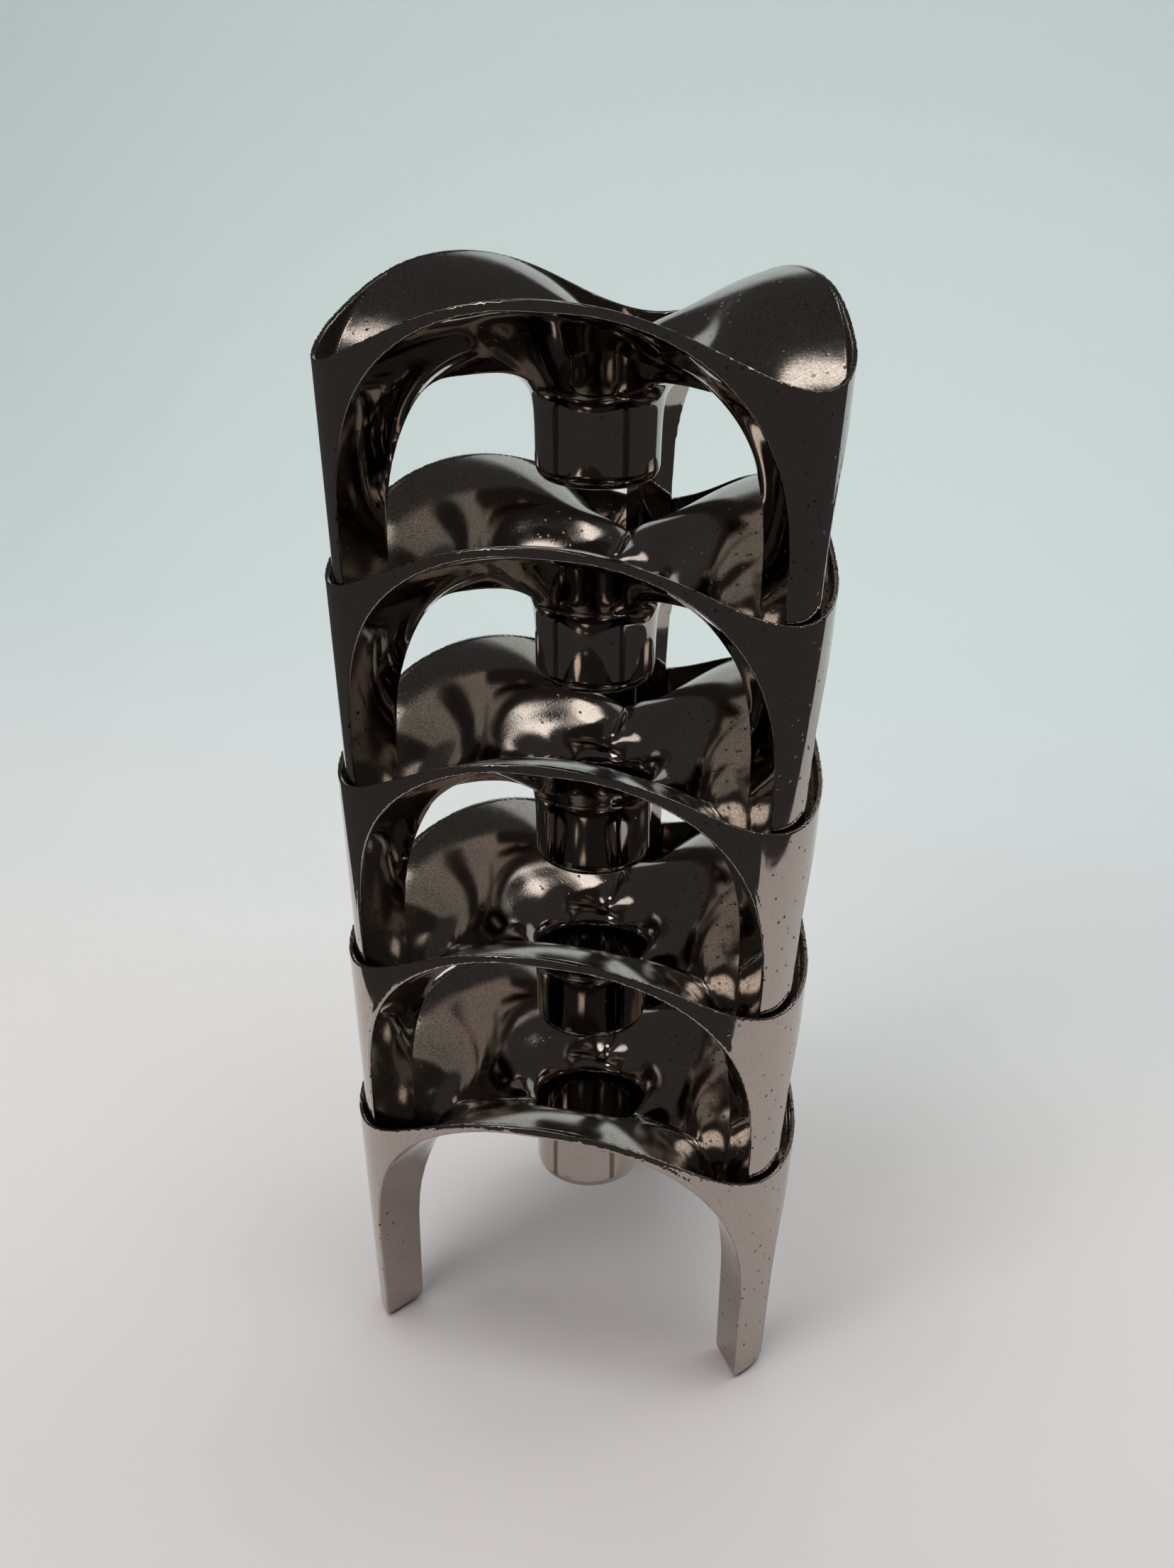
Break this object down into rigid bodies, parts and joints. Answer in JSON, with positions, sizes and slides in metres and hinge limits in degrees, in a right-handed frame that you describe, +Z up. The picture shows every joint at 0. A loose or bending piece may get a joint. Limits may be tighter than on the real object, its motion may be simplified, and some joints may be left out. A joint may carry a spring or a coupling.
{
  "type": "stacking candle holder",
  "caption": "Nesting three-legged cast-metal candle holders stacked in a tower, each with a central candle cup, arched sides and lobed top; each lifts off the one below.",
  "frame": {"origin": "on the supporting surface, at the middle of the box around the stack; the candle cups' common axis is 5.9 mm towards -Y from it", "axes": "+Z up along the stack, +Y towards the single rear leg, -Y towards the side with two legs"},
  "size_m": [0.0984, 0.0948, 0.2332],
  "materials": {
    "plated_metal": "mirror-polished plating on cast metal, worn and faintly smoky, top lobes a little satin"
  },
  "bodies": {
    "module_1": {"module_1": "plated_metal"},
    "module_2": {"module_2": "plated_metal"},
    "module_3": {"module_3": "plated_metal"},
    "module_4": {"module_4": "plated_metal"},
    "module_5": {"module_5": "plated_metal"}
  },
  "joints": [
    {"name": "lift_2", "type": "slide", "parent": "module_1", "child": "module_2", "axis": [0, 0, 1], "range_m": [0, 0.036]},
    {"name": "lift_3", "type": "slide", "parent": "module_2", "child": "module_3", "axis": [0, 0, 1], "range_m": [0, 0.036]},
    {"name": "lift_4", "type": "slide", "parent": "module_3", "child": "module_4", "axis": [0, 0, 1], "range_m": [0, 0.036]},
    {"name": "lift_5", "type": "slide", "parent": "module_4", "child": "module_5", "axis": [0, 0, 1], "range_m": [0, 0.036]}
  ]
}
